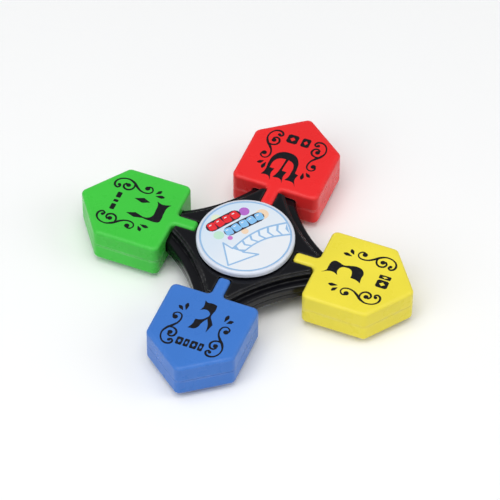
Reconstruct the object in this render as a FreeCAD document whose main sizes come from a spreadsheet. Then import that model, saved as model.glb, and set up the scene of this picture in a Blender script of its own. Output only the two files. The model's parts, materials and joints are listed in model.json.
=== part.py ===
import FreeCAD, Part
import math
import os
import sys
from types import SimpleNamespace

import Sketcher

# Four-armed game spinner: dreidel-shaped blocks on a two-shell frame that turns
# on a ball bearing between two finger caps.  Every sub-part is modelled about
# the mid-plane, where the shells meet, and then lifted so that the bottom cap
# stands on z = 0.  The arms lie along +Y, -X, -Y and +X.

DRIVING = [
    ("block_width", 28.0, "block, across its two straight sides"),
    ("block_height", 11.7, "block, both shells together"),
    ("block_inner", 23.0, "axis to the block's inner face"),
    ("block_shoulder", 43.5, "axis to where the block starts to point"),
    ("block_tip", 53.9, "axis to the block's tip"),
    ("block_wall", 1.8, "wall of a block shell"),
    ("block_round", 1.0, "rounding of the block's outer edges"),
    ("corner_round", 2.0, "rounding of the block's corners in plan"),
    ("stem_width", 3.8, "handle of the dreidel shape"),
    ("stem_end", 15.8, "axis to the end of the handle"),
    ("stem_round", 1.2, "rounding of the handle's end"),
    ("stem_root_round", 1.4, "fillet between handle and block"),
    ("arch_round", 1.0, "upper corners of the opening that an arm enters by"),
    ("arch_bevel", 0.3, "bevel round that opening"),
    ("rim_height", 5.0, "frame at its rim, both shells"),
    ("rim_waist", 19.7, "axis to the rim half-way between two arms"),
    ("rim_centre", 65.2, "axis to the centre of a rim arc"),
    ("rim_round", 0.8, "rounding of the rim's edge"),
    ("tongue_width", 10.0, "end of an arm, inside the block"),
    ("tongue_end", 29.4, "axis to the end of an arm"),
    ("deck_centre", 73.8, "axis to the centre of a deck arc"),
    ("deck_waist", 17.0, "axis to the lower deck half-way between arms"),
    ("deck_drop", 1.25, "lower deck below the block's face"),
    ("deck_end", 22.4, "axis to the end of the decks on an arm"),
    ("deck_step", 0.7, "upper deck inside the lower one"),
    ("deck_gap", 0.6, "upper deck below the block's face"),
    ("groove_over", 0.5, "handle groove, past the decks' end"),
    ("deck_round", 0.28, "rounding of the decks' edges"),
    ("mould_gap", 0.15, "clearance between block, handle and frame"),
    ("seam_bevel", 0.2, "bevel along the line where two shells meet"),
    ("cap_radius", 14.85, "finger cap"),
    ("cap_proud", 2.0, "finger cap's face above the block's face"),
    ("cap_thick", 2.0, "finger cap's plate at its edge"),
    ("cap_hollow", 0.6, "hollow under the finger cap's plate"),
    ("cap_skirt", 1.2, "wall round the hollow"),
    ("cap_round", 0.85, "rounding of the cap's outer edge"),
    ("cap_under_round", 0.17, "rounding of the cap's lower edge"),
    ("label_radius", 13.9, "printed disc in the top cap"),
    ("label_thick", 0.3, "printed disc"),
    ("label_recess", 0.35, "depth of the seat of the printed disc"),
    ("label_play", 0.05, "gap round the printed disc"),
    ("peg_radius", 1.75, "peg that joins the two caps"),
    ("peg_length", 2.8, "peg that joins the two caps"),
    ("socket_spare", 0.4, "socket, deeper than the peg"),
    ("bore_radius", 4.0, "bearing bore and cap spigot"),
    ("bearing_radius", 11.0, "bearing, outside"),
    ("bearing_width", 7.0, "bearing"),
    ("boss_radius", 5.9, "cap boss that stands on the inner race"),
    ("lip_radius", 9.6, "frame lip that holds the bearing"),
    ("ball_radius", 1.985, "bearing ball"),
    ("pitch_radius", 7.5, "circle through the balls' centres"),
    ("groove_radius", 2.07, "section of the raceway groove"),
    ("land", 1.45, "race shoulders, from the pitch circle"),
    ("cage_half", 1.0, "half the wall of the ball cage"),
    ("cage_over", 0.55, "ball cage, beyond the balls"),
    ("ball_play", 0.1, "gap round a ball in the cage"),
    ("shield_thick", 0.4, "bearing shield"),
    ("shield_sink", 0.15, "shield below the bearing's face"),
    ("shield_seat", 0.4, "step in the outer race that holds a shield"),
    ("shield_play", 0.2, "gap between shield and inner race"),
    ("weight_radius", 7.5, "steel weight in a block"),
    ("weight_place", 38.4, "axis to the weight's centre"),
    ("weight_bevel", 0.4, "bevel of the weight's edges"),
    ("ring_wall", 1.1, "rib ring round the weight"),
    ("ring_depth", 2.6, "rib ring, down from the block's ceiling"),
    ("near_screw", 27.4, "axis to the screw through the arm"),
    ("far_screw", 49.3, "axis to the screw near the tip"),
    ("pilot_radius", 0.95, "block screw's shank and its pilot hole"),
    ("pilot_end", 4.8, "top of the pilot hole, from the mid-plane"),
    ("hub_screw", 13.9, "axis to the screws that close the frame"),
    ("hub_pilot", 0.85, "frame screw's shank and its pilot hole"),
    ("hub_pilot_end", 3.6, "top of that pilot hole, from the mid-plane"),
    ("hub_seat", 1.7, "head seat of a frame screw, below the deck"),
    ("screw_play", 0.3, "gap round a screw's shank"),
    ("screw_spare", 0.2, "pilot hole, deeper than its screw"),
    ("head_over", 1.0, "screw's head, beyond its shank"),
    ("head_play", 0.25, "gap round a screw's head"),
    ("boss_wall", 1.4, "wall of a screw boss"),
]

# The blocks in order, counter-clockwise from the arm along +Y.
COLOURS = ["red", "green", "blue", "yellow"]


class Size:
    """A length that is both a number and the expression that drives it."""

    def __init__(self, value, text):
        self.value = value
        self.text = text

    @staticmethod
    def of(other):
        return other if isinstance(other, Size) else Size(float(other), repr(float(other)))

    def _join(self, other, sign, value):
        return Size(value, f"({self.text} {sign} {Size.of(other).text})")

    def __add__(self, other):
        return self._join(other, "+", self.value + Size.of(other).value)

    def __sub__(self, other):
        return self._join(other, "-", self.value - Size.of(other).value)

    def __mul__(self, other):
        return self._join(other, "*", self.value * Size.of(other).value)

    def __truediv__(self, other):
        return self._join(other, "/", self.value / Size.of(other).value)

    def __neg__(self):
        return Size(-self.value, f"(0 - {self.text})")

    def root(self):
        return Size(math.sqrt(self.value), f"sqrt({self.text})")


ZERO = Size(0.0, "0")
HALF_ROOT = math.sqrt(0.5)

doc = FreeCAD.newDocument("game_spinner")
sheet = doc.addObject("Spreadsheet::Sheet", "Dims")
for row, (alias, value, meaning) in enumerate(DRIVING, start=1):
    sheet.set(f"A{row}", meaning)
    sheet.set(f"B{row}", str(value))
    sheet.setAlias(f"B{row}", alias)
doc.recompute()
dim = SimpleNamespace(**{alias: Size(value, f"Dims.{alias}") for alias, value, _ in DRIVING})

# Heights above the mid-plane, and other sizes that follow from the driving ones.
half_block = dim.block_height / 2
half_width = dim.block_width / 2
ceiling = half_block - dim.block_wall
rim_top = dim.rim_height / 2
lower_deck = half_block - dim.deck_drop
upper_deck = half_block - dim.deck_gap
half_bearing = dim.bearing_width / 2
cap_top = half_block + dim.cap_proud
stand_height = cap_top


# ---------------------------------------------------------------- FreeCAD helpers

def origin_feature(body, role):
    return next(f for f in body.Origin.OriginFeatures if f.Role == role)


def new_body(label, flipped=False, turn=0.0):
    """A body about the mid-plane, lifted to its height; flipped hangs it upside down."""
    body = doc.addObject("PartDesign::Body", label)
    body.Label = label
    spin = FreeCAD.Rotation(FreeCAD.Vector(0, 0, 1), turn)
    flip = FreeCAD.Rotation(FreeCAD.Vector(0, 1, 0), 180 if flipped else 0)
    body.Placement = FreeCAD.Placement(FreeCAD.Vector(0, 0, 0), spin.multiply(flip))
    body.setExpression("Placement.Base.z", stand_height.text)
    return body


def new_sketch(body, name, role="XY_Plane", height=ZERO):
    sketch = body.newObject("Sketcher::SketchObject", f"{body.Name}_{name}")
    sketch.AttachmentSupport = [(origin_feature(body, role), "")]
    sketch.MapMode = "FlatFace"
    sketch.setExpression("AttachmentOffset.Base.z", height.text)
    return sketch


def bind(sketch, constraint, size):
    index = sketch.addConstraint(constraint)
    sketch.setExpression(f"Constraints[{index}]", size.text)


def fix_point(sketch, piece, end, place):
    """Ties one end of a sketch line or arc to a place measured from the origin."""
    for axis, kind, size in ((-2, "DistanceX", place[0]), (-1, "DistanceY", place[1])):
        if size is ZERO:
            sketch.addConstraint(Sketcher.Constraint("PointOnObject", piece, end, axis))
        else:
            made = Sketcher.Constraint(kind, -1, 1, piece, end, size.value)
            bind(sketch, made, size)


def arc_between(start, end, radius, left):
    """The short arc from start to end, with its centre on the left or right of the way."""
    a = FreeCAD.Vector(start[0].value, start[1].value, 0)
    b = FreeCAD.Vector(end[0].value, end[1].value, 0)
    chord = b - a
    across = FreeCAD.Vector(-chord.y, chord.x, 0).normalize()
    reach = math.sqrt(radius.value ** 2 - (chord.Length / 2) ** 2)
    centre = (a + b) * 0.5 + across * (reach if left else -reach)
    first, last = (a, b) if left else (b, a)
    angles = [math.atan2(p.y - centre.y, p.x - centre.x) for p in (first, last)]
    circle = Part.Circle(centre, FreeCAD.Vector(0, 0, 1), radius.value)
    return Part.ArcOfCircle(circle, angles[0], angles[1])


def draw_outline(sketch, corners):
    """A closed outline.  A corner is (x, y), or (x, y, radius, left) to leave it on an arc."""
    corners = [tuple(Size.of(v) if i < 2 and v != 0 else (ZERO if i < 2 else v)
                     for i, v in enumerate(corner)) for corner in corners]
    ends = []
    for corner, following in zip(corners, corners[1:] + corners[:1]):
        if len(corner) == 4:
            piece = sketch.addGeometry(arc_between(corner, following, corner[2], corner[3]))
            bind(sketch, Sketcher.Constraint("Radius", piece, corner[2].value), corner[2])
            ends.append((piece, 1, 2) if corner[3] else (piece, 2, 1))
        else:
            line = Part.LineSegment(*(FreeCAD.Vector(p[0].value, p[1].value, 0)
                                      for p in (corner, following)))
            ends.append((sketch.addGeometry(line), 1, 2))
    for corner, here, before in zip(corners, ends, ends[-1:] + ends[:-1]):
        sketch.addConstraint(Sketcher.Constraint("Coincident", before[0], before[2], here[0], here[1]))
        fix_point(sketch, here[0], here[1], corner)
    return sketch


def draw_circle(sketch, radius, x=ZERO, y=ZERO):
    circle = Part.Circle(FreeCAD.Vector(x.value, y.value, 0), FreeCAD.Vector(0, 0, 1), radius.value)
    piece = sketch.addGeometry(circle)
    fix_point(sketch, piece, 3, (x, y))
    bind(sketch, Sketcher.Constraint("Radius", piece, radius.value), radius)
    return sketch


def volume(body):
    doc.recompute()
    return body.Tip.Shape.Volume if body.Tip else 0.0


def extrude(body, kind, sketch, length, name, reverse=False):
    """Pads or pockets a sketch and stops if that adds or removes nothing."""
    before = volume(body)
    feature = body.newObject(f"PartDesign::{kind}", f"{body.Name}_{name}")
    feature.Profile = sketch
    feature.setExpression("Length", length.text)
    feature.Reversed = reverse
    change = volume(body) - before
    if change * (1 if kind == "Pad" else -1) < 1e-3:
        raise ValueError(f"{feature.Name} changes nothing")
    return feature


def pad(body, name, draw, bottom, top):
    """Material between two heights; draw puts the outline on the sketch."""
    sketch = draw(new_sketch(body, f"{name}_outline", height=bottom))
    return extrude(body, "Pad", sketch, top - bottom, name)


def cut(body, name, draw, bottom, top):
    """Removes the material between two heights."""
    sketch = draw(new_sketch(body, f"{name}_outline", height=top))
    return extrude(body, "Pocket", sketch, top - bottom, name)


def turned(body, name, corners, x=ZERO, role="XZ_Plane"):
    """Material turned about the upright line at x; the corners are radius and height."""
    sketch = new_sketch(body, f"{name}_profile", role)
    places = [(c[0] if x is ZERO else x + c[0],) + tuple(c[1:]) for c in corners]
    draw_outline(sketch, places)
    if x is ZERO:
        axis = "V_Axis"
    else:
        line = Part.LineSegment(FreeCAD.Vector(x.value, -1, 0), FreeCAD.Vector(x.value, 1, 0))
        piece = sketch.addGeometry(line, True)
        fix_point(sketch, piece, 1, (x, Size.of(-1)))
        fix_point(sketch, piece, 2, (x, Size.of(1)))
        axis = "Axis0"
    feature = body.newObject("PartDesign::Revolution", f"{body.Name}_{name}")
    feature.Profile = sketch
    feature.ReferenceAxis = (sketch, [axis])
    feature.Angle = 360
    doc.recompute()
    return feature


def ring_of(body, name, features, count):
    pattern = body.newObject("PartDesign::PolarPattern", f"{body.Name}_{name}")
    pattern.Originals = features
    pattern.Axis = (origin_feature(body, "Z_Axis"), [""])
    pattern.Angle = 360
    pattern.Occurrences = count
    body.Tip = pattern
    doc.recompute()
    return pattern


def dress(body, kind, name, size, test):
    """Fillets or chamfers the edges of the body's latest shape that pass the test."""
    doc.recompute()
    base = body.Tip
    picked = [f"Edge{i}" for i, edge in enumerate(base.Shape.Edges, start=1) if test(edge)]
    if not picked:
        raise ValueError(f"{body.Name}_{name} finds no edge")
    feature = body.newObject(f"PartDesign::{kind}", f"{body.Name}_{name}")
    feature.Base = (base, picked)
    feature.setExpression("Radius" if kind == "Fillet" else "Size", size.text)
    doc.recompute()
    return feature


def flat_at(edge, height, slack=1e-4):
    box = edge.BoundBox
    return abs(box.ZMin - height.value) < slack and abs(box.ZMax - height.value) < slack


def upright(edge):
    box = edge.BoundBox
    return box.XLength < 1e-4 and box.YLength < 1e-4


def reach_of(edge):
    middle = edge.valueAt((edge.FirstParameter + edge.LastParameter) / 2)
    return math.hypot(middle.x, middle.y)


# ---------------------------------------------------------------- outlines

def rotate_quarter(corner):
    x, y, *arc = corner
    return (-y, x, *arc)


def four_times(corners):
    """The corners of one arm, repeated for all four, going round the axis."""
    outline = []
    for _ in range(4):
        outline += corners
        corners = [rotate_quarter(c) for c in corners]
    return outline


def arc_reach(centre, radius, side):
    """How far along the arm a frame arc is at the given distance beside the arm."""
    middle = centre * HALF_ROOT
    return middle - (radius * radius - (middle - side) * (middle - side)).root()


# Half-width of an arm where it enters the block.
arm_half = arc_reach(dim.rim_centre, dim.rim_centre - dim.rim_waist, dim.block_inner)


def rim_outline(sketch):
    """Arms with straight tongues, joined by arcs that curve in towards the axis."""
    radius = dim.rim_centre - dim.rim_waist
    side = dim.tongue_width / 2
    start = arc_reach(dim.rim_centre, radius, side)
    arm = [(side, start), (side, dim.tongue_end), (-side, dim.tongue_end),
           (-side, start, radius, False)]
    return draw_outline(sketch, four_times(arm))


def deck_outline(sketch, inset):
    """A raised star whose points run under the handles and are cut off square."""
    waist = dim.deck_waist - inset
    end = dim.deck_end - inset / 2
    radius = dim.deck_centre - waist
    side = arc_reach(dim.deck_centre, radius, end)
    return draw_outline(sketch, four_times([(side, end), (-side, end, radius, False)]))


def block_outline(sketch, wall):
    """The block's five-sided plan, drawn in by the wall's thickness."""
    wide = dim.block_width / 2 - wall
    slope = (dim.block_tip - dim.block_shoulder) / half_width
    tip = dim.block_tip - wall * (slope * slope + 1).root()
    shoulder = tip - wide * slope
    inner = dim.block_inner + wall
    return draw_outline(sketch, [(wide, inner), (wide, shoulder), (ZERO, tip),
                                 (-wide, shoulder), (-wide, inner)])


def bar_outline(sketch, width, start, end):
    half = width / 2
    return draw_outline(sketch, [(half, start), (half, end), (-half, end), (-half, start)])


# ---------------------------------------------------------------- frame

def frame_shell(label, lower):
    """One half of the black frame, from the mid-plane outwards."""
    body = new_body(label, flipped=lower)
    pad(body, "rim", rim_outline, ZERO, rim_top)
    dress(body, "Fillet", "rim_edge", dim.rim_round, lambda e: flat_at(e, rim_top))
    dress(body, "Chamfer", "seam", dim.seam_bevel,
          lambda e: flat_at(e, ZERO) and reach_of(e) < dim.block_inner.value)
    pad(body, "deck", lambda s: deck_outline(s, ZERO), rim_top, lower_deck)
    dress(body, "Fillet", "deck_edge", dim.deck_round, lambda e: flat_at(e, lower_deck))
    pad(body, "top_deck", lambda s: deck_outline(s, dim.deck_step), lower_deck, upper_deck)
    dress(body, "Fillet", "top_deck_edge", dim.deck_round, lambda e: flat_at(e, upper_deck))
    cut(body, "bearing_seat", lambda s: draw_circle(s, dim.bearing_radius), ZERO, half_bearing)
    cut(body, "lip", lambda s: draw_circle(s, dim.lip_radius), half_bearing, upper_deck)
    screw_hole = dim.pilot_radius + dim.screw_play + dim.mould_gap
    holes = [cut(body, "arm_hole", lambda s: draw_circle(s, screw_hole, y=dim.near_screw),
                 ZERO, rim_top)]
    if lower:
        return finish_lower_frame(body, holes)
    groove_width = dim.stem_width + dim.mould_gap * 2
    holes.append(cut(body, "handle_groove",
                     lambda s: bar_outline(s, groove_width, dim.stem_end - dim.mould_gap,
                                           dim.deck_end + dim.groove_over), rim_top, upper_deck))
    diagonal = dim.hub_screw * HALF_ROOT
    holes.append(cut(body, "pilot", lambda s: draw_circle(s, dim.hub_pilot, diagonal, diagonal),
                     ZERO, dim.hub_pilot_end))
    ring_of(body, "arms", holes, 4)
    return body


def finish_lower_frame(body, holes):
    """Clearance holes and counterbores for the four screws that close the frame."""
    diagonal = dim.hub_screw * HALF_ROOT
    seat = upper_deck - dim.hub_seat
    shank_hole = dim.hub_pilot + dim.screw_play
    head_hole = dim.hub_pilot + dim.head_over + dim.head_play
    holes.append(cut(body, "screw_hole", lambda s: draw_circle(s, shank_hole, diagonal, diagonal),
                     ZERO, seat))
    holes.append(cut(body, "counterbore", lambda s: draw_circle(s, head_hole, diagonal, diagonal),
                     seat, upper_deck))
    ring_of(body, "arms", holes, 4)
    return body


# ---------------------------------------------------------------- blocks

def arch_outline(sketch):
    """The opening that the arm enters by, with rounded upper corners."""
    half = arm_half + dim.mould_gap
    top = rim_top + dim.mould_gap
    bend = dim.arch_round
    return draw_outline(sketch, [(half, ZERO), (half, top - bend, bend, True),
                                 (half - bend, top), (bend - half, top, bend, True),
                                 (-half, top - bend), (-half, ZERO)])


def block_shell(label, turn, lower):
    """One hollow half of a block; the upper one carries the handle of the dreidel."""
    body = new_body(label, flipped=lower, turn=turn)
    pad(body, "block", lambda s: block_outline(s, ZERO), ZERO, half_block)
    opening_top = rim_top + dim.mould_gap
    if not lower:
        pad(body, "handle",
            lambda s: bar_outline(s, dim.stem_width, dim.stem_end, dim.block_inner + 1),
            opening_top, half_block)
        dress(body, "Fillet", "handle_end", dim.stem_round,
              lambda e: upright(e) and reach_of(e) < dim.block_inner.value - 1)
        dress(body, "Fillet", "handle_root", dim.stem_root_round,
              lambda e: upright(e) and reach_of(e) < dim.block_inner.value + 0.3)
    dress(body, "Fillet", "corners", dim.corner_round,
          lambda e: upright(e) and reach_of(e) > dim.block_inner.value + 0.5)
    dress(body, "Fillet", "face_edge", dim.block_round, lambda e: flat_at(e, half_block))
    cut(body, "hollow", lambda s: block_outline(s, dim.block_wall), ZERO, ceiling)
    depth = dim.block_wall * 2
    opening = arch_outline(new_sketch(body, "opening_outline", "XZ_Plane", -dim.block_inner - depth))
    extrude(body, "Pocket", opening, depth + dim.block_wall, "opening", reverse=True)
    dress(body, "Chamfer", "opening_lip", dim.arch_bevel, on_opening_lip)
    dress(body, "Chamfer", "seam", dim.seam_bevel, on_side_seam)
    boss = dim.pilot_radius + dim.boss_wall
    pad(body, "near_boss", lambda s: draw_circle(s, boss, y=dim.near_screw), rim_top, ceiling)
    pad(body, "far_boss", lambda s: draw_circle(s, boss, y=dim.far_screw), ZERO, ceiling)
    pad(body, "weight_ring",
        lambda s: draw_circle(s, dim.weight_radius + dim.ring_wall, y=dim.weight_place),
        ceiling - dim.ring_depth, ceiling)
    cut(body, "weight_seat", lambda s: draw_circle(s, dim.weight_radius, y=dim.weight_place),
        ceiling - dim.ring_depth, ceiling)
    for name, place in (("near", dim.near_screw), ("far", dim.far_screw)):
        if lower:
            shank_hole = dim.pilot_radius + dim.screw_play
            head_hole = dim.pilot_radius + dim.head_over + dim.head_play
            cut(body, f"{name}_hole", lambda s: draw_circle(s, shank_hole, y=place),
                ZERO, half_block)
            cut(body, f"{name}_counterbore", lambda s: draw_circle(s, head_hole, y=place),
                ceiling, half_block)
        else:
            cut(body, f"{name}_pilot", lambda s: draw_circle(s, dim.pilot_radius, y=place),
                ZERO, dim.pilot_end)
    return body


def on_opening_lip(edge):
    """Edges of the arm opening on the block's inner face."""
    box = edge.BoundBox
    return (box.YLength < 1e-4 and abs(box.YMin - dim.block_inner.value) < 1e-4
            and box.XMin > -arm_half.value - 1 and box.XMax < arm_half.value + 1
            and box.ZMax < rim_top.value + dim.mould_gap.value + 1e-4)


def on_side_seam(edge):
    """Seam edges on the block's two sides; the bevel follows them round the corners."""
    box = edge.BoundBox
    return flat_at(edge, ZERO) and max(-box.XMin, box.XMax) > half_width.value - 1e-3


# ---------------------------------------------------------------- caps

def finger_cap(label, lower):
    """A round cap with a boss on the inner race and a spigot in its bore."""
    body = new_body(label, flipped=lower)
    edge = cap_top - dim.cap_thick
    web = edge + dim.cap_hollow
    corners = [(ZERO, ZERO), (dim.bore_radius, ZERO), (dim.bore_radius, half_bearing),
               (dim.boss_radius, half_bearing), (dim.boss_radius, web),
               (dim.cap_radius - dim.cap_skirt, web), (dim.cap_radius - dim.cap_skirt, edge),
               (dim.cap_radius, edge), (dim.cap_radius, cap_top), (ZERO, cap_top)]
    turned(body, "plate", corners)
    dress(body, "Fillet", "outer_edge", dim.cap_round,
          lambda e: flat_at(e, cap_top) and reach_of(e) > dim.label_radius.value)
    dress(body, "Fillet", "under_edge", dim.cap_under_round,
          lambda e: flat_at(e, edge) and reach_of(e) > dim.cap_radius.value - 0.01)
    if lower:
        sketch = draw_circle(new_sketch(body, "peg_outline"), dim.peg_radius)
        extrude(body, "Pad", sketch, dim.peg_length, "peg", reverse=True)
    else:
        cut(body, "socket", lambda s: draw_circle(s, dim.peg_radius),
            ZERO, dim.peg_length + dim.socket_spare)
        cut(body, "label_seat", lambda s: draw_circle(s, dim.label_radius + dim.label_play),
            cap_top - dim.label_recess, cap_top)
    return body


def printed_disc():
    body = new_body("cap_label")
    bottom = cap_top - dim.label_recess
    pad(body, "disc", lambda s: draw_circle(s, dim.label_radius), bottom, bottom + dim.label_thick)


# ---------------------------------------------------------------- bearing

def groove_half():
    return (dim.groove_radius * dim.groove_radius - dim.land * dim.land).root()


def bearing():
    """A shielded deep-groove bearing: two races, caged balls and two shields."""
    groove = groove_half()
    recess = half_bearing - dim.shield_thick - dim.shield_sink
    inner_land = dim.pitch_radius - dim.land
    outer_land = dim.pitch_radius + dim.land
    seat = outer_land + dim.shield_seat

    inner = new_body("bearing_inner_race")
    turned(inner, "ring", [(dim.bore_radius, -half_bearing), (inner_land, -half_bearing),
                           (inner_land, -groove, dim.groove_radius, False), (inner_land, groove),
                           (inner_land, half_bearing), (dim.bore_radius, half_bearing)])
    outer = new_body("bearing_outer_race")
    turned(outer, "ring", [(dim.bearing_radius, -half_bearing), (dim.bearing_radius, half_bearing),
                           (seat, half_bearing), (seat, recess), (outer_land, recess),
                           (outer_land, groove, dim.groove_radius, False), (outer_land, -groove),
                           (outer_land, -recess), (seat, -recess), (seat, -half_bearing)])
    cage = new_body("bearing_cage")
    cage_inside = dim.pitch_radius - dim.cage_half
    cage_outside = dim.pitch_radius + dim.cage_half
    cage_top = dim.ball_radius + dim.cage_over
    turned(cage, "ring", [(cage_inside, -cage_top), (cage_outside, -cage_top),
                          (cage_outside, cage_top), (cage_inside, cage_top)])
    pocket_sketch = draw_circle(new_sketch(cage, "pocket_outline", "XZ_Plane"),
                                dim.ball_radius + dim.ball_play)
    pocket = extrude(cage, "Pocket", pocket_sketch, dim.pitch_radius + dim.cage_half * 2, "pocket")
    ring_of(cage, "pockets", [pocket], 7)

    balls = new_body("bearing_balls")
    ball = balls.newObject("PartDesign::AdditiveSphere", "ball")
    ball.setExpression("Radius", dim.ball_radius.text)
    ball.AttachmentSupport = [(origin_feature(balls, "XY_Plane"), "")]
    ball.MapMode = "FlatFace"
    ball.setExpression("AttachmentOffset.Base.y", dim.pitch_radius.text)
    ring_of(balls, "ring", [ball], 7)

    for label, lower in (("bearing_shield_upper", False), ("bearing_shield_lower", True)):
        shield = new_body(label, flipped=lower)
        hole = inner_land + dim.shield_play
        turned(shield, "disc", [(hole, recess), (seat, recess),
                                (seat, recess + dim.shield_thick), (hole, recess + dim.shield_thick)])


# ---------------------------------------------------------------- weights and screws

def weight(label, turn):
    body = new_body(label, turn=turn)
    pad(body, "disc", lambda s: draw_circle(s, dim.weight_radius, y=dim.weight_place),
        -ceiling, ceiling)
    dress(body, "Chamfer", "edges", dim.weight_bevel,
          lambda e: flat_at(e, ceiling) or flat_at(e, -ceiling))


def cross_outline(sketch, place, long, wide):
    """The cross-shaped drive in a screw's head."""
    a, b = long / 2, wide / 2
    plus = [(b, a), (-b, a), (-b, b), (-a, b), (-a, -b), (-b, -b),
            (-b, -a), (b, -a), (b, -b), (a, -b), (a, b), (b, b)]
    return draw_outline(sketch, [(x, place + y) for x, y in plus])


# A screw's proportions, to the radius of its head and, for the taper, of its shank.
HEAD_HEIGHT, HEAD_DOME, TIP_TAPER = 0.7, 0.3, 0.8
DRIVE_REACH, DRIVE_WIDTH, DRIVE_DEPTH = 1.1, 0.28, 0.4


def screw(body, name, place, shank, seat, tip):
    """A pan-head screw driven from below, at a distance along the arm."""
    head = shank + dim.head_over
    head_low = seat - head * HEAD_HEIGHT
    dome = head * HEAD_DOME
    taper = shank * TIP_TAPER
    profile = [(ZERO, head_low), (head - dome, head_low), (head, head_low + dome), (head, seat),
               (shank, seat), (shank, tip - taper), (shank / 2, tip), (ZERO, tip)]
    made = turned(body, name, profile, x=place, role="YZ_Plane")
    drive = cross_outline(new_sketch(body, f"{name}_drive_outline", height=head_low),
                          place, head * DRIVE_REACH, head * DRIVE_WIDTH)
    cross = extrude(body, "Pocket", drive, head * DRIVE_DEPTH, f"{name}_drive", reverse=True)
    return [made, cross]


def screws():
    blocks = new_body("block_screws")
    made = []
    for name, place in (("near", dim.near_screw), ("far", dim.far_screw)):
        made += screw(blocks, name, place, dim.pilot_radius, -ceiling,
                      dim.pilot_end - dim.screw_spare)
    ring_of(blocks, "all", made, 4)

    hub = new_body("frame_screws", turn=45)
    made = screw(hub, "hub", dim.hub_screw, dim.hub_pilot, dim.hub_seat - upper_deck,
                 dim.hub_pilot_end - dim.screw_spare)
    ring_of(hub, "all", made, 4)


# ---------------------------------------------------------------- assembly

frame_shell("frame_upper", lower=False)
frame_shell("frame_lower", lower=True)
for quarter, colour in enumerate(COLOURS):
    block_shell(f"{colour}_block_top", 90.0 * quarter, lower=False)
    block_shell(f"{colour}_block_bottom", 90.0 * quarter, lower=True)
    weight(f"{colour}_weight", 90.0 * quarter)
finger_cap("top_cap", lower=False)
finger_cap("bottom_cap", lower=True)
printed_disc()
bearing()
screws()
doc.recompute()

# Nothing is written unless every object is sound.
faults = [o.Name for o in doc.Objects if {"Invalid", "Error"} & set(o.State)]
sub_parts = [o for o in doc.Objects if o.TypeId == "PartDesign::Body"]
faults += [b.Label for b in sub_parts if b.Shape.isNull() or not b.Shape.isValid()]
if faults:
    sys.exit(f"failed: {faults}")

os.makedirs("parts", exist_ok=True)
for sub_part in sub_parts:
    sub_part.Shape.exportStep(f"parts/{sub_part.Label}.step")
    box = sub_part.Shape.BoundBox
    print(f"{sub_part.Label:24s} solids {len(sub_part.Shape.Solids)}  volume"
          f" {sub_part.Shape.Volume:9.1f}  z {box.ZMin:6.2f} to {box.ZMax:6.2f}")
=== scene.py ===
import json
import math

import bmesh
import bpy
from mathutils import Matrix, Vector


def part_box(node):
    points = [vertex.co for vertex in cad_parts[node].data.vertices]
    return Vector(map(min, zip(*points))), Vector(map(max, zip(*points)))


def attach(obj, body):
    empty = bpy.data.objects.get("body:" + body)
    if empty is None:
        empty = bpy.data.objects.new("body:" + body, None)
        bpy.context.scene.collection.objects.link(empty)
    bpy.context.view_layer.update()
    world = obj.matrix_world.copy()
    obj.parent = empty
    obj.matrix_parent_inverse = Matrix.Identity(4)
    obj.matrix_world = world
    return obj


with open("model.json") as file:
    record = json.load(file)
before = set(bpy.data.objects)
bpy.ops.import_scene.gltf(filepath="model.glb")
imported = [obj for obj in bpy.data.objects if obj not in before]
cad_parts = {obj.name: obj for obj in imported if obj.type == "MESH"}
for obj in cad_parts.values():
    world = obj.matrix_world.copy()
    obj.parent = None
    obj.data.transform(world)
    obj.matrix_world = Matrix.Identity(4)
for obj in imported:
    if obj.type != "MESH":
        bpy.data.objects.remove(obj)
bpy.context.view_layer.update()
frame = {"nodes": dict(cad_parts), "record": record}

# Game spinner: printed letters and scrolls on four dreidel-shaped blocks, a printed
# disc in the finger cap, and moulded plastic, steel and ink finishes.

MM = 0.001
COLOURS = ["red", "green", "blue", "yellow"]     # from +Y, counter-clockwise
BLOCK_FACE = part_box("red_block_top")[1].z
LABEL_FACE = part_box("cap_label")[1].z
LABEL_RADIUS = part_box("cap_label")[1].x

VIEW_AZIMUTH = math.radians(21.64)               # the photograph's viewing angle
VIEW_ELEVATION = math.radians(49.22)
VIEW_ROLL = math.radians(0.38)
VIEW_DISTANCE = 0.976
VIEW_LENS = 235.2
AIM_RIGHT, AIM_NEARER = 1.35 * MM, 3.85 * MM     # where it looks, from the hub's axis

FLOOR_HALF = 5.0
FLOOR_DROP = 0.02 * MM                           # keeps the floor just below the caps

INK_ROOT = 0.05 * MM                             # how far a print reaches into its surface
INK_RISE = 0.025 * MM                            # how far a block's print stands proud
FILM = 0.006 * MM                                # the label's layers of print
HAIR = 0.0005 * MM                               # keeps crossing strokes out of one plane


# ---------------------------------------------------------------- camera, floor, light

def basis(azimuth, elevation):
    """Unit vectors to the right of, along the floor from, and back towards a viewer."""
    right = Vector((math.cos(azimuth), math.sin(azimuth), 0))
    away = Vector((-math.sin(azimuth), math.cos(azimuth), 0))
    back = -away * math.cos(elevation) + Vector((0, 0, math.sin(elevation)))
    return right, away, back


def make_camera():
    right, away, back = basis(VIEW_AZIMUTH, VIEW_ELEVATION)
    target = Vector((0, 0, BLOCK_FACE)) + right * AIM_RIGHT - away * AIM_NEARER
    camera = bpy.data.objects.new("camera", bpy.data.cameras.new("camera"))
    camera.data.lens = VIEW_LENS
    camera.data.sensor_width = 36
    camera.data.clip_start = 0.05
    camera.data.clip_end = 20
    turn = (-back).to_track_quat("-Z", "Y").to_matrix() @ Matrix.Rotation(VIEW_ROLL, 3, "Z")
    camera.matrix_world = Matrix.Translation(target + back * VIEW_DISTANCE) @ turn.to_4x4()
    bpy.context.scene.collection.objects.link(camera)
    bpy.context.scene.camera = camera


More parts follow.
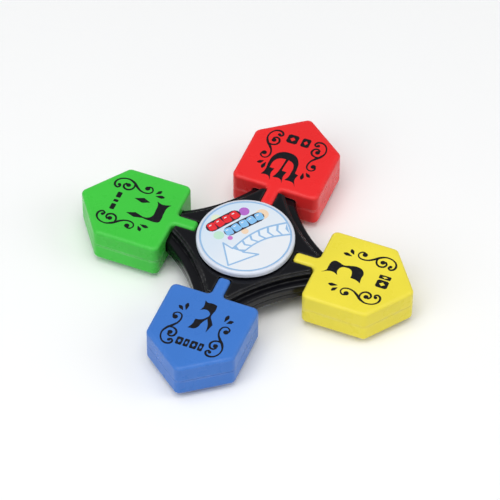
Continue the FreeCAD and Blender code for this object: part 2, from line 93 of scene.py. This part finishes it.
def make_light(name, azimuth, elevation, distance, size, power, colour):
    """A square softbox aimed at the hub; azimuth is measured from the camera's side."""
    back = basis(VIEW_AZIMUTH + math.radians(azimuth), math.radians(elevation))[2]
    lamp = bpy.data.objects.new(name, bpy.data.lights.new(name, "AREA"))
    lamp.data.shape = "SQUARE"
    lamp.data.size = size
    lamp.data.energy = power
    lamp.data.color = colour
    lamp.location = back * distance
    lamp.rotation_mode = "QUATERNION"
    lamp.rotation_quaternion = (-back).to_track_quat("-Z", "Y")
    bpy.context.scene.collection.objects.link(lamp)


def make_world(strength):
    world = bpy.data.worlds.new("studio")
    world.use_nodes = True
    background = world.node_tree.nodes["Background"]
    background.inputs["Color"].default_value = (0.94, 0.97, 1.0, 1)
    background.inputs["Strength"].default_value = strength
    bpy.context.scene.world = world


# ---------------------------------------------------------------- materials

class Finish:
    """A procedural material, built up node by node round one Principled shader."""

    def __init__(self, name, **constants):
        self.material = bpy.data.materials.new(name)
        self.material.use_nodes = True
        self.tree = self.material.node_tree
        self.shader = self.tree.nodes["Principled BSDF"]
        for socket, value in constants.items():
            self.shader.inputs[socket.replace("_", " ")].default_value = value
        place = self.tree.nodes.new("ShaderNodeTexCoord")
        self.place = place.outputs["Object"]

    def node(self, kind, inputs=None, **settings):
        made = self.tree.nodes.new(f"ShaderNode{kind}")
        for key, value in settings.items():
            setattr(made, key, value)
        for key, value in (inputs or {}).items():
            if isinstance(value, bpy.types.NodeSocket):
                self.tree.links.new(value, made.inputs[key])
            else:
                made.inputs[key].default_value = value
        return made

    def noise(self, size, detail=3.0, stretch=None):
        """Noise whose blotches are about size metres; stretch scales the three axes."""
        vector = self.place
        if stretch:
            vector = self.node("Mapping", {"Vector": vector, "Scale": stretch}).outputs["Vector"]
        made = self.node("TexNoise", {"Vector": vector, "Scale": 1 / size, "Detail": detail,
                                      "Roughness": 0.55})
        return made.outputs["Fac"]

    def spread(self, factor, low, high, start=0.3, end=0.7):
        """Maps a factor from start..end to low..high."""
        made = self.node("MapRange", {"Value": factor, "From Min": start, "From Max": end,
                                      "To Min": low, "To Max": high})
        return made.outputs["Result"]

    def mix(self, factor, first, second):
        made = self.node("Mix", data_type="RGBA")
        for index, value in ((0, factor), (6, first), (7, second)):
            if isinstance(value, bpy.types.NodeSocket):
                self.tree.links.new(value, made.inputs[index])
            else:
                made.inputs[index].default_value = value
        return made.outputs[2]

    def eased(self, radius):
        """The normal with every edge rounded off to the radius."""
        return self.node("Bevel", {"Radius": radius}, samples=6).outputs["Normal"]

    def edges(self, eased):
        """One along sharp edges, nought on flat faces, from how far the eased normal leans."""
        hard = self.node("NewGeometry").outputs["Normal"]
        dot = self.node("VectorMath", {0: eased, 1: hard}, operation="DOT_PRODUCT")
        return self.spread(dot.outputs["Value"], 1.0, 0.0, 0.88, 0.998)

    def bump(self, height, strength, distance, normal=None):
        """Relief of the given depth, laid over the given normal."""
        inputs = {"Height": height, "Strength": strength, "Distance": distance}
        if normal:
            inputs["Normal"] = normal
        made = self.node("Bump", inputs)
        self.tree.links.new(made.outputs["Normal"], self.shader.inputs["Normal"])

    def drive(self, socket, value):
        self.tree.links.new(value, self.shader.inputs[socket])


def tint(colour, factor):
    """The colour made lighter or darker."""
    return tuple(min(1.0, c * factor) for c in colour[:3]) + (1.0,)


def blend(colour, other, share):
    """The colour with a share of the other mixed in."""
    return tuple(a + (b - a) * share for a, b in zip(colour[:3], other[:3])) + (1.0,)


WHITE = (1.0, 1.0, 1.0, 1.0)


def plastic(name, colour, rough=0.28, wear_and_highlight=0.22, shine=0.20):
    """Moulded plastic: flow mottling, a fine skin, hairline scratches, and edges painted paler,
    partly as wear and partly as painted highlight.
    """
    finish = Finish(name, IOR=1.50, Specular_IOR_Level=shine)
    flow = finish.noise(18 * MM, 2.0)
    body = finish.mix(finish.spread(flow, 0.0, 1.0), tint(colour, 0.955), tint(colour, 1.03))
    # Edges are mixed towards white, partly as rubbed wear and partly as a painted highlight where
    # edges catch the light.
    wear_and_highlight_colour = blend(colour, WHITE, wear_and_highlight)
    wear_and_highlight_mask = finish.node("Math", {0: finish.edges(finish.eased(1.2 * MM)),
                                1: finish.spread(finish.noise(3 * MM, 4.0), 0.1, 1.0)},
                       operation="MULTIPLY").outputs["Value"]
    finish.drive("Base Color", finish.mix(wear_and_highlight_mask, body, wear_and_highlight_colour))
    smudge = finish.noise(7 * MM, 5.0)
    finish.drive("Roughness", finish.spread(smudge, rough - 0.05, rough + 0.09))
    skin = finish.noise(0.6 * MM, 2.0)
    hairlines = finish.noise(4 * MM, 3.0, stretch=(14.0, 0.7, 3.0))
    height = finish.node("Math", {0: skin, 1: finish.spread(hairlines, 0.0, 0.5, 0.62, 0.70)},
                         operation="SUBTRACT").outputs["Value"]
    finish.bump(height, 0.14, 0.02 * MM, finish.eased(0.3 * MM))
    return finish.material


def metal(name, colour, rough, grain):
    """Turned or pressed metal with fine grain in the given stretch, and faint stains."""
    finish = Finish(name, Metallic=1.0)
    lines = finish.noise(0.8 * MM, 3.0, stretch=grain)
    stain = finish.noise(4 * MM, 4.0)
    finish.drive("Base Color", finish.mix(finish.spread(stain, 0.0, 1.0),
                                          tint(colour, 0.82), tint(colour, 1.05)))
    finish.drive("Roughness", finish.spread(lines, rough - 0.07, rough + 0.10))
    finish.bump(lines, 0.35, 0.01 * MM)
    return finish.material


def ink(name, colour, patchy=0.25):
    """A printed film, with thin spots where the colour is a little paler."""
    finish = Finish(name, IOR=1.46, Specular_IOR_Level=0.2)
    speck = finish.noise(0.5 * MM, 4.0)
    cover = finish.spread(speck, patchy, 0.0, 0.28, 0.5)
    finish.drive("Base Color", finish.mix(cover, colour, blend(colour, WHITE, 0.12)))
    finish.drive("Roughness", finish.spread(finish.noise(2 * MM, 3.0), 0.37, 0.50))
    finish.bump(speck, 0.2, 0.008 * MM)
    return finish.material


def label_film():
    """The cap's disc: pale blue towards the upper left of the print, nearly white below."""
    finish = Finish("label_film", IOR=1.47)
    turned = finish.node("Mapping", {"Vector": finish.place,
                                     "Rotation": (0, 0, -VIEW_AZIMUTH)}).outputs["Vector"]
    across = finish.node("SeparateXYZ", {"Vector": turned})
    slope = finish.node("Math", {0: across.outputs["Y"], 1: across.outputs["X"]},
                        operation="SUBTRACT").outputs["Value"]
    drift = finish.spread(finish.noise(9 * MM, 3.0), -4 * MM, 4 * MM)
    cloud = finish.node("Math", {0: slope, 1: drift}, operation="ADD").outputs["Value"]
    fade = finish.spread(cloud, 0.0, 1.0, -10 * MM, 19 * MM)
    finish.drive("Base Color", finish.mix(fade, (0.81, 0.84, 0.89, 1), (0.62, 0.75, 0.89, 1)))
    finish.drive("Roughness", finish.spread(finish.noise(3 * MM, 4.0), 0.32, 0.42))
    finish.bump(finish.noise(0.7 * MM, 2.0), 0.15, 0.01 * MM)
    return finish.material


def floor_finish():
    """Pale board, very slightly uneven in tone."""
    finish = Finish("pale_floor", Specular_IOR_Level=0.15)
    finish.drive("Base Color", finish.mix(finish.noise(0.25, 3.0), (0.955, 0.955, 0.96, 1),
                                          (0.985, 0.985, 0.985, 1)))
    finish.drive("Roughness", finish.spread(finish.noise(0.02, 3.0), 0.75, 0.85))
    return finish.material


SLOT_FINISHES = {
    "red_plastic": plastic("red_plastic", (0.86, 0.026, 0.028, 1)),
    "green_plastic": plastic("green_plastic", (0.055, 0.575, 0.056, 1)),
    "blue_plastic": plastic("blue_plastic", (0.052, 0.190, 0.600, 1)),
    "yellow_plastic": plastic("yellow_plastic", (0.86, 0.73, 0.058, 1)),
    "black_plastic": plastic("black_plastic", (0.0036, 0.0036, 0.0054, 1), 0.13, 0.03, 0.34),
    "white_plastic": plastic("white_plastic", (0.72, 0.765, 0.87, 1), 0.28, 0.05, 0.4),
    "printed_label": label_film(),
    "bearing_steel": metal("bearing_steel", (0.62, 0.63, 0.65, 1), 0.22, (1, 1, 30)),
    "cage_brass": metal("cage_brass", (0.72, 0.52, 0.22, 1), 0.32, (1, 1, 20)),
    "shield_steel": metal("shield_steel", (0.55, 0.56, 0.58, 1), 0.30, (20, 1, 1)),
    "screw_steel": metal("screw_steel", (0.60, 0.61, 0.62, 1), 0.30, (3, 3, 12)),
    "weight_steel": metal("weight_steel", (0.42, 0.42, 0.43, 1), 0.38, (16, 1, 1)),
}


def finish_cad_nodes():
    """Gives every CAD node the finish that its slot names in the record."""
    for entry in frame["record"]["subparts"]:
        node = frame["nodes"][entry["node"]]
        if not node.material_slots:
            node.data.materials.append(None)
        for slot in node.material_slots:
            slot.material = SLOT_FINISHES[entry["material_slot"]]


# ---------------------------------------------------------------- print shapes

def link(name, mesh, material, body):
    """Puts the mesh in the scene as a piece that rides on the body."""
    piece = bpy.data.objects.new(name, mesh)
    bpy.context.scene.collection.objects.link(piece)
    mesh.materials.clear()
    mesh.materials.append(material)
    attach(piece, body)
    return piece


def plate(name, outlines, place, low, high, material, body):
    """Flat print from closed outlines; a point with a third value is a smooth one.

    The curve is drawn in millimetres, because its fill loses corners of very small outlines.
    """
    curve = bpy.data.curves.new(name, "CURVE")
    curve.dimensions = "2D"
    curve.fill_mode = "BOTH"
    curve.resolution_u = 6
    curve.extrude = (high - low) / 2 / MM
    for outline in outlines:
        spline = curve.splines.new("BEZIER")
        spline.bezier_points.add(len(outline) - 1)
        spline.use_cyclic_u = True
        for point, corner in zip(spline.bezier_points, outline):
            point.co = (corner[0] / MM, corner[1] / MM, 0)
            kind = "AUTO" if len(corner) > 2 else "VECTOR"
            point.handle_left_type = point.handle_right_type = kind
    holder = bpy.data.objects.new(name + "_outline", curve)
    bpy.context.scene.collection.objects.link(holder)
    bpy.context.view_layer.update()
    mesh = bpy.data.meshes.new_from_object(holder.evaluated_get(
        bpy.context.evaluated_depsgraph_get()))
    bpy.data.objects.remove(holder)
    mesh.name = name
    mesh.transform(place @ Matrix.Translation((0, 0, (low + high) / 2)) @ Matrix.Scale(MM, 4))
    clean(mesh)
    return link(name, mesh, material, body)


def clean(mesh):
    """Joins doubled points and turns every face outwards."""
    shape = bmesh.new()
    shape.from_mesh(mesh)
    bmesh.ops.remove_doubles(shape, verts=shape.verts, dist=1e-7)
    bmesh.ops.recalc_face_normals(shape, faces=shape.faces)
    shape.to_mesh(mesh)
    shape.free()


def smooth_line(points, steps=6):
    """Samples of a curve through (x, y, width) points."""
    last = len(points) - 1
    samples = []
    for i in range(last):
        before, start = points[max(i - 1, 0)], points[i]
        end, after = points[i + 1], points[min(i + 2, last)]
        for step in range(steps):
            t = step / steps
            samples.append(tuple(
                0.5 * (2 * b + (c - a) * t + (2 * a - 5 * b + 4 * c - d) * t * t
                       + (3 * b - a - 3 * c + d) * t ** 3)
                for a, b, c, d in zip(before, start, end, after)))
    samples.append(tuple(points[-1]))
    return samples


def round_ends(samples):
    """Adds a rounded end beyond each end of the line."""
    ended = list(samples)
    for end, beside in ((0, 1), (-1, -2)):
        x, y, width = samples[end]
        away = Vector((x - samples[beside][0], y - samples[beside][1])).normalized()
        cap = []
        for degrees in (30, 60, 85):
            reach = width / 2 * math.sin(math.radians(degrees))
            cap.append((x + away.x * reach, y + away.y * reach,
                        width * math.cos(math.radians(degrees))))
        ended = cap[::-1] + ended if end == 0 else ended + cap
    return ended


def ribbons(name, lines, place, low, high, material, body, rounded=True):
    """Brush strokes: each line is a closed strip as wide as its points say.

    Each one's top is a hair above the one's before it, so that no two lie in one plane.
    """
    shape = bmesh.new()
    for number, line in enumerate(lines):
        top = high + number * HAIR
        samples = smooth_line(line)
        if rounded:
            samples = round_ends(samples)
        rings = []
        for i, (x, y, width) in enumerate(samples):
            ahead, behind = samples[min(i + 1, len(samples) - 1)], samples[max(i - 1, 0)]
            along = Vector((ahead[0] - behind[0], ahead[1] - behind[1])).normalized()
            side = Vector((-along.y, along.x)) * max(width, 1e-6) / 2
            corners = [(x + side.x, y + side.y, top), (x - side.x, y - side.y, top),
                       (x - side.x, y - side.y, low), (x + side.x, y + side.y, low)]
            rings.append([shape.verts.new(place @ Vector(c)) for c in corners])
        for one, two in zip(rings, rings[1:]):
            for k in range(4):
                shape.faces.new((one[k], one[(k + 1) % 4], two[(k + 1) % 4], two[k]))
        shape.faces.new(rings[0])
        shape.faces.new(rings[-1])
    bmesh.ops.recalc_face_normals(shape, faces=shape.faces)
    mesh = bpy.data.meshes.new(name)
    shape.to_mesh(mesh)
    shape.free()
    return link(name, mesh, material, body)


def disc(x, y, radius, points=8):
    """A circle's outline, as smooth points."""
    return [(x + radius * math.cos(a), y + radius * math.sin(a), 1)
            for a in (2 * math.pi * k / points for k in range(points))]


def lozenge(x, y, half_width, half_height):
    """A diamond's outline."""
    return [(x + half_width, y), (x, y + half_height),
            (x - half_width, y), (x, y - half_height)]


def scaled(outlines, step_x, step_y=None, shift_x=0.0, shift_y=0.0):
    """The outlines in metres, from drawings with the given steps."""
    step_y = step_y or step_x
    return [[(p[0] * step_x + shift_x, p[1] * step_y + shift_y) + tuple(p[2:])
             for p in outline] for outline in outlines]


# ---------------------------------------------------------------- prints on the blocks

GRID = 0.44 * MM          # step of the drawing grid of the block prints
PRINT_PLACE = 37.7 * MM   # from the axis to the letters' base line
INK_LOW, INK_HIGH = BLOCK_FACE - INK_ROOT, BLOCK_FACE + INK_RISE
DOT_LIFT = 10 * HAIR      # the scrolls' dots lie on top of their strokes

# The traditional letters, on the grid, with the base line at 0 and the handle upwards.
# A point with a third value is smooth, the others are corners.
SHIN = [[(-10.5, 26.4), (-8, 23.2, 1), (-2.4, 22.9), (-3.8, 19.5, 1), (-4.1, 15, 1),
         (-4.0, 11, 1), (-2.3, 7.4, 1), (1.1, 5.6), (1.8, 11, 1), (1.9, 16), (-1.4, 16.2),
         (-0.6, 20, 1), (-1.7, 26.2), (0.6, 23.2, 1), (5.5, 23.3), (4.2, 19.5, 1), (3.2, 12, 1),
         (2.9, 5.6), (7, 6.4, 1), (9.7, 10, 1), (10.2, 16), (6.9, 16.2), (7.7, 20, 1),
         (6.2, 26.4), (8.8, 23.2, 1), (13.4, 23.4), (12.1, 19.5, 1), (12.4, 12, 1),
         (11.5, 5.5, 1), (8, 0.8, 1), (3, -0.5, 1), (-2, 0.8, 1), (-5.4, 5.5, 1), (-6.4, 11, 1),
         (-6.6, 15), (-9.1, 16), (-8.3, 20, 1)]]
HEY = [[(-10.5, 25), (-8, 23.3, 1), (-2, 22.9, 1), (4, 23.3, 1), (6.6, 22.6, 1), (7.4, 20.5, 1),
        (7.5, 16, 1), (7, 11.2), (8.3, 5.5), (6.3, -0.4), (4, 5.5), (5.9, 11.2), (5.6, 14, 1),
        (3.5, 16.5, 1), (-3, 16.9, 1), (-8, 16.3, 1), (-10.4, 14.9), (-9.1, 19, 1)],
       [(-7.6, 11.0), (-5.4, 5.9), (-7.5, -0.2), (-10.0, 5.9)]]
GIMEL = [[(-5.5, 25), (-3.6, 23.7, 1), (0.5, 24, 1), (3.6, 23.2), (4.1, 19, 1), (3.4, 15, 1),
          (3.2, 12.5, 1), (5, 9, 1), (7, 5.6), (5, -2.6), (4, 4, 1), (1.8, 9.3), (-0.2, 5.5, 1),
          (-2.6, -1.5, 1), (-7.8, -2.9), (-6, 1.5, 1), (-5.8, 6.5), (-2.2, 7.4, 1),
          (0.6, 10.2, 1), (1.9, 13.5, 1), (0.6, 15.9, 1), (-2.2, 17, 1), (-5.8, 15.4),
          (-4.6, 19, 1)]]
NUN = [[(-5.2, 27.6), (-2.4, 24.8, 1), (1, 24.6, 1), (5, 24, 1), (6.8, 22, 1), (6.4, 18.5, 1),
        (5.3, 15, 1), (6.2, 11, 1), (7.2, 6, 1), (6.3, 1.8, 1), (3, -0.9, 1), (-1, -0.7, 1),
        (-5.3, -1.3), (-3.6, 2.5, 1), (-3.3, 6.6), (0.5, 7, 1), (3.4, 9, 1), (3.9, 12, 1),
        (3.3, 15.3, 1), (1, 17, 1), (-1.5, 17.2, 1), (-4.2, 16), (-2.7, 19.5, 1),
        (-2.8, 22.5, 1)]]

# Each block's letter, its width and height on the grid, and its shift in millimetres.
LETTERS = {"red": (SHIN, 1.10, 1.06, -0.66, 0.0), "green": (HEY, 1.02, 1.05, 0.33, 0.3),
           "blue": (GIMEL, 1.00, 0.94, 0.30, 1.2), "yellow": (NUN, 1.04, 0.965, -0.52, 0.6)}

# One side's scrolls: x and y on the grid, and the stroke's width there.
SCROLL = [(-19.9, 6.2, 1.3), (-19.9, 8.2, 1.2), (-17.6, 9.8, 1.0), (-15.0, 8.8, 1.1),
          (-13.9, 5.8, 1.2), (-14.6, 1.8, 1.3), (-17.0, -1.8, 1.8), (-19.8, -5.0, 1.8),
          (-21.5, -9.0, 1.2), (-21.1, -13.0, 1.1), (-19.1, -16.2, 1.2), (-16.2, -17.6, 1.5),
          (-13.3, -17.0, 1.6), (-12.0, -14.8, 1.4), (-13.2, -13.2, 1.3), (-14.8, -13.6, 1.3)]
CURL = [(-20.0, -5.2, 0.9), (-18.4, -4.0, 1.1), (-16.0, -3.6, 1.3), (-13.4, -4.8, 1.4),
        (-12.2, -7.4, 1.5), (-13.2, -10.2, 1.5), (-15.5, -11.0, 1.4), (-17.2, -9.8, 1.3)]
SHORT_LEAF = [(-19.0, 15.3, 1.6), (-17.9, 14.6, 2.7), (-15.9, 12.8, 0.5)]
LONG_LEAF = [(-14.6, 18.9, 1.6), (-14.5, 17.2, 2.7), (-13.9, 13.6, 0.4)]
DOTS = [(-18.3, 5.5, 1.8), (-16.3, -8.0, 1.7), (-14.6, -14.2, 1.2)]

# Each block's row of blank, pierced tiles near the tip, in millimetres: how far below the
# letter's base line, half their height, and each one's centre and half its width.
TIP_TILES = {
    "red": (-5.9, 1.8, [(-2.4, 1.35), (1.9, 1.75)]),
    "green": (-4.6, 0.75, [(-2.5, 1.15), (0.0, 0.5), (2.5, 1.15)]),
    "blue": (-5.5, 1.45, [(-3.4, 1.0), (-1.2, 0.75), (1.1, 1.05), (3.3, 0.75)]),
    "yellow": (-6.2, 1.85, [(-0.8, 1.5), (1.9, 0.75)]),
}


def both_sides(lines):
    """The lines and their mirror images."""
    return lines + [[(-x, y, width) for x, y, width in line] for line in lines]


def block_frame(turn):
    """From print coordinates, y towards the hub, to the block that is turned from +Y."""
    return Matrix.Rotation(turn + math.pi, 4, "Z") @ Matrix.Translation((0, -PRINT_PLACE, 0))


def bevelled(x, y, half_width, half_height, cut):
    """A rectangle's outline with its corners cut off, counter-clockwise from the right side."""
    outline = []
    for sx, sy in ((1, 1), (-1, 1), (-1, -1), (1, -1)):
        ends = [(x + sx * half_width, y + sy * (half_height - cut)),
                (x + sx * (half_width - cut), y + sy * half_height)]
        outline += ends if sx == sy else ends[::-1]
    return outline


def tip_tiles(y, half_height, tiles_across):
    """Bevelled tiles in a row; the tall ones are pierced by a lozenge."""
    bevel, hole, tall = 0.3, 0.5, 1.0
    outlines = []
    for x, half_width in tiles_across:
        cut = min(half_width, half_height) * bevel
        outlines.append(bevelled(x, y, half_width, half_height, cut))
        if half_height > tall:
            outlines.append(lozenge(x, y, half_width * hole, half_height * hole))
    return outlines


def print_blocks():
    """Each block's letter, tiles, scrolls and dots."""
    black = ink("black_ink", (0.007, 0.007, 0.010, 1), patchy=0.08)
    strokes = [[tuple(v * GRID for v in point) for point in line]
               for line in both_sides([SCROLL, CURL, SHORT_LEAF, LONG_LEAF])]
    dots = [disc(side * x, y, radius) for side in (-1, 1) for x, y, radius in DOTS]
    for quarter, colour in enumerate(COLOURS):
        letter, width, height, right, up = LETTERS[colour]
        place = block_frame(quarter * math.pi / 2)
        outlines = scaled(letter, GRID * width, GRID * height, right * MM, up * MM)
        plate(f"{colour}_letter", outlines, place, INK_LOW, INK_HIGH, black, "spinner")
        plate(f"{colour}_tip_tiles", scaled(tip_tiles(*TIP_TILES[colour]), MM), place,
              INK_LOW, INK_HIGH, black, "spinner")
        plate(f"{colour}_scroll_dots", scaled(dots, GRID), place,
              INK_LOW, INK_HIGH + DOT_LIFT, black, "spinner")
        ribbons(f"{colour}_scrolls", strokes, place, INK_LOW, INK_HIGH, black, "spinner")


# ---------------------------------------------------------------- print on the cap's disc

# In millimetres, with the photograph's right and up as x and y.
ART_RISE = 0.4            # the drawing's origin, above the disc's centre
LABEL_PLACE = (Matrix.Rotation(VIEW_AZIMUTH, 4, "Z")
               @ Matrix.Translation((0, ART_RISE * MM, 0)))
BORDER_GAP, LINE = 0.05, 0.5          # bare rim outside the border; the lines' width
UPPER_EDGE = [(-3.9, -5.4), (0.6, -0.6), (5.7, 2.9), (12.2, 5.0)]
LOWER_EDGE = [(-0.7, -6.8), (2.9, -3.4), (7.4, -0.9), (13.3, 0.3)]
ARROW_HEAD = [(-6.7, -3.2), (3.9, -7.6), (-5.1, -12.0)]
SHAFT_STEPS = 8

# Coloured spots behind the tiles: each one's centre and radius.
SPOTS = [("peach", (0.88, 0.66, 0.48, 1), [(4.9, 8.3, 2.0), (-0.2, 1.5, 1.1)]),
         ("leaf", (0.52, 0.78, 0.62, 1), [(-8.0, -0.2, 1.6)]),
         ("lime", (0.74, 0.82, 0.62, 1), [(-8.9, 6.6, 1.5)]),
         ("violet", (0.46, 0.14, 0.58, 1), [(-0.5, 9.4, 1.6)]),
         ("pink", (0.62, 0.18, 0.56, 1), [(-4.6, -1.2, 0.8)])]

# The two rows of blank tiles: the path of the middles, how many, and their height.
RED_ROW = ([(-11.2, 2.3), (-7.0, 5.4), (-2.2, 8.7)], 4, 2.9)
BLUE_ROW = ([(-6.1, 0.6), (-0.8, 4.3), (5.2, 8.1)], 5, 2.8)
TILE_GAP = 0.26
TILE_TILT = 0.14
BACKING_PROUD = 0.8       # how much taller the dark backing is than its tiles


def layer(number):
    """Height of a print layer; later layers lie on earlier ones."""
    return LABEL_FACE + FILM * (number + 1)


def on_label(name, outlines, number, material):
    """A flat shape in a layer of the label's print."""
    plate(name, scaled(outlines, MM), LABEL_PLACE, LABEL_FACE - INK_ROOT, layer(number),
          material, "caps")


def lines_on_label(name, lines, number, material, rounded=True):
    """Strokes in a layer of the label's print."""
    strokes = [[tuple(v * MM for v in point) for point in line] for line in lines]
    ribbons(name, strokes, LABEL_PLACE, LABEL_FACE - INK_ROOT, layer(number),
            material, "caps", rounded)


def along(points, share):
    """Place and direction part of the way along a smooth line."""
    samples = smooth_line([p + (0.0,) for p in points], 12)
    lengths = [0.0]
    for one, two in zip(samples, samples[1:]):
        lengths.append(lengths[-1] + math.dist(one, two))
    wanted = share * lengths[-1]
    i = next(k for k in range(1, len(lengths)) if lengths[k] >= wanted - 1e-9)
    t = (wanted - lengths[i - 1]) / (lengths[i] - lengths[i - 1])
    one, two = Vector(samples[i - 1][:2]), Vector(samples[i][:2])
    return one.lerp(two, t), (two - one).normalized()


def in_shaft(share, rise):
    """A point of the arrow's shaft: share along it, rise across it from the lower edge."""
    low = along(LOWER_EDGE, share)[0]
    high = along(UPPER_EDGE, share)[0]
    return low.lerp(high, rise)


def shaft_edge(rise, steps):
    """Points along the shaft at the given rise: smooth ones between two corners."""
    points = [tuple(in_shaft(k / SHAFT_STEPS, rise)) for k in steps]
    return [points[0]] + [point + (1,) for point in points[1:-1]] + [points[-1]]


def chevrons(count):
    """Arrow feathers, one after another along the shaft; lengths are shares of the shaft's."""
    first, reach, length, nib = 0.03, 0.96, 0.122, 0.045
    low, middle, high = 0.08, 0.5, 0.92
    outlines = []
    for k in range(count):
        start = first + reach * k / count
        corners = [(start, middle), (start + nib, high), (start + nib + length, high),
                   (start + length, middle), (start + nib + length, low), (start + nib, low)]
        outlines.append([tuple(in_shaft(share, rise)) for share, rise in corners])
    return outlines


def tiles(path, count, height):
    """A row of blank tiles along a path, tilted to and fro: a short barrel for each."""
    barrel = ((-1, 0.74), (-0.62, 1), (0.62, 1), (1, 0.74))
    path_length = sum(math.dist(a, b) for a, b in zip(path, path[1:]))
    half_length = (path_length / count - TILE_GAP) / 2
    lines = []
    for k in range(count):
        middle, ahead = along(path, (k + 0.5) / count)
        up = Vector((-ahead.y, ahead.x))
        ahead = (ahead + up * (TILE_TILT if k % 2 else -TILE_TILT)).normalized()
        lines.append([tuple(middle + ahead * half_length * share) + (height * width,)
                      for share, width in barrel])
    return lines


def shine(path, count, height):
    """A short highlight near the upper edge of each tile."""
    rise, back, length, widths = 0.24, 0.45, 0.6, (0.34, 0.30)
    lines = []
    for k in range(count):
        middle, ahead = along(path, (k + 0.5) / count)
        up = Vector((-ahead.y, ahead.x))
        start = middle + up * height * rise - ahead * back
        lines.append([tuple(start) + (widths[0],),
                      tuple(start + ahead * length) + (widths[1],)])
    return lines


def print_row(colour, row, level, inks):
    """A row of tiles on its backing, with their highlights; inks are for those three."""
    path, _, height = row
    backing = [tuple(along(path, share)[0]) + (height + BACKING_PROUD,)
               for share in (0.12, 0.5, 0.88)]
    lines_on_label(f"label_{colour}_backing", [backing], level, inks[0])
    lines_on_label(f"label_{colour}_tiles", tiles(*row), 6, inks[1], rounded=False)
    lines_on_label(f"label_{colour}_shine", shine(*row), 6.5, inks[2])


def print_label():
    """The cap disc's print, from the lowest layer up."""
    sky = ink("sky_ink", (0.30, 0.50, 0.76, 1), patchy=0.4)
    pale = ink("pale_ink", (0.80, 0.85, 0.91, 1))
    dark = ink("dark_ink", (0.030, 0.018, 0.035, 1))
    red = ink("red_ink", (0.80, 0.026, 0.036, 1))
    blue = ink("blue_ink", (0.24, 0.53, 0.87, 1), patchy=0.9)

    reach = LABEL_RADIUS / MM - BORDER_GAP
    on_label("label_border", [disc(0, -ART_RISE, radius, 24) for radius in (reach, reach - LINE)],
             0, sky)
    for name, colour, places in SPOTS:
        on_label(f"label_{name}_spots", [disc(*place) for place in places], 0,
                 ink(f"{name}_ink", colour))

    on_label("label_arrow_head", [ARROW_HEAD], 1, pale)
    steps = range(SHAFT_STEPS + 1)
    shaft = shaft_edge(1.0, steps) + shaft_edge(0.0, reversed(steps))
    on_label("label_arrow_shaft", [shaft], 2, sky)
    on_label("label_chevrons", chevrons(6), 3, pale)
    a, b, c = ARROW_HEAD
    drawn = [(a, UPPER_EDGE[0]), (a, c), (c, b), (b, LOWER_EDGE[0]), UPPER_EDGE, LOWER_EDGE]
    lines_on_label("label_arrow_lines", [[p + (LINE,) for p in line] for line in drawn], 4, sky)

    print_row("red", RED_ROW, 5, (dark, red, pale))
    print_row("blue", BLUE_ROW, 5.3, (dark, blue, pale))


# ---------------------------------------------------------------- putting it together

def make_floor():
    mesh = bpy.data.meshes.new("floor")
    corners = [(x * FLOOR_HALF, y * FLOOR_HALF, 0)
               for x, y in ((-1, -1), (1, -1), (1, 1), (-1, 1))]
    mesh.from_pydata(corners, [], [(0, 1, 2, 3)])
    mesh.materials.append(floor_finish())
    floor = bpy.data.objects.new("floor", mesh)
    floor.location.z = -FLOOR_DROP
    bpy.context.scene.collection.objects.link(floor)


make_camera()
make_world(0.30)
make_light("overhead", -20, 80, 1.0, 0.8, 5.7, (1.0, 0.99, 0.97))
make_light("right_side", 80, 35, 0.9, 0.5, 1.6, (1.0, 1.0, 1.0))
make_light("front_left", -50, 40, 1.0, 0.7, 3.0, (0.97, 0.99, 1.0))
make_floor()
finish_cad_nodes()
print_blocks()
print_label()
bpy.context.scene.view_settings.view_transform = "Standard"
